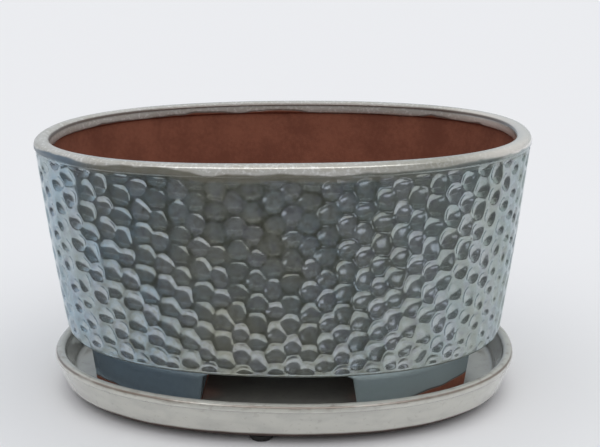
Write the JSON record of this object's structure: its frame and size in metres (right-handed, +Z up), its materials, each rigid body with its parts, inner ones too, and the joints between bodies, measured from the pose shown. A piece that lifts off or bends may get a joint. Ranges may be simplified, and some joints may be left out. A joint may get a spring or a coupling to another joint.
{
  "type": "bonsai pot with drip tray",
  "caption": "Oval glazed bonsai pot with a hammered wall and arched feet, standing loose in a matching oval drip tray on rubber pads.",
  "frame": {"origin": "on the table, under the middle of the drip tray's outline", "axes": "+X along the oval's length, -Y the front, +Z up"},
  "size_m": [0.266, 0.202, 0.1449],
  "materials": {
    "pot_glaze": "gloss reactive glaze in grey-green and blue-grey, paler where it breaks over edges",
    "tray_glaze": "gloss pale grey glaze",
    "bare_clay": "matt unglazed red-brown stoneware",
    "rubber": "matt black stick-on pad"
  },
  "bodies": {
    "tray": {"drip_tray": "tray_glaze", "pad_front": "rubber", "pad_back": "rubber", "pad_left": "rubber", "pad_right": "rubber"},
    "pot": {"pot": "pot_glaze"}
  },
  "joints": [
    {"name": "pot_lift", "type": "slide", "parent": "tray", "child": "pot", "axis": [0, 0, 1], "range_m": [0, 0.06]}
  ]
}
